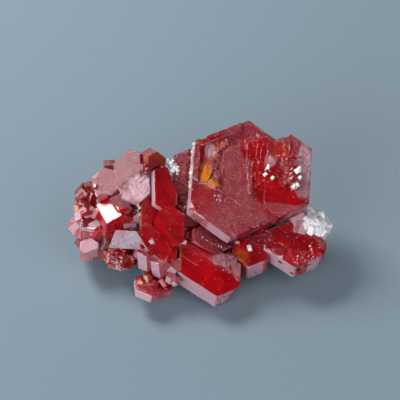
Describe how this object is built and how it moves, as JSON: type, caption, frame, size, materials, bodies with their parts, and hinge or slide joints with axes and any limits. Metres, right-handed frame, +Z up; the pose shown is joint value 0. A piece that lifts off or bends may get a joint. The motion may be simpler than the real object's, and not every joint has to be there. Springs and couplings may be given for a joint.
{
  "type": "vanadinite on matrix",
  "caption": "Crowded group of flat six-sided deep red crystals on a small piece of pale rock, with a white tuft, resting on a flat foot.",
  "frame": {"origin": "middle of the specimen's box, on the surface that it rests on", "axes": "+X along the specimen towards its broad plate, +Y to its back, +Z up; the front slab faces -Y"},
  "size_m": [0.0386, 0.025, 0.017],
  "materials": {
    "vanadinite": "deep red, translucent, glassy to resinous",
    "pale_vanadinite": "pinkish, dusty bloom over red crystal",
    "brown_vanadinite": "brown-red, translucent, glassy",
    "barite": "white, splintery, glittering",
    "rock": "cream to brown, rough, dull"
  },
  "bodies": {
    "root": {"broad_plate": "vanadinite", "front_slab": "vanadinite", "lower_right_plates": "vanadinite", "upright_blade": "vanadinite", "lilac_wedge": "pale_vanadinite", "middle_blades": "vanadinite", "brown_barrel": "brown_vanadinite", "bright_block": "vanadinite", "foot_crystal": "vanadinite", "left_end_crystals": "pale_vanadinite", "lower_left_block": "pale_vanadinite", "tucked_crystal": "vanadinite", "pale_plates": "pale_vanadinite", "back_plate": "pale_vanadinite", "barite_tuft": "barite", "fringe_crystals": "vanadinite", "rear_plates": "vanadinite", "rear_left_prisms": "vanadinite", "rear_right_prisms": "vanadinite", "rear_foot_prisms": "vanadinite", "matrix": "rock"}
  },
  "joints": []
}
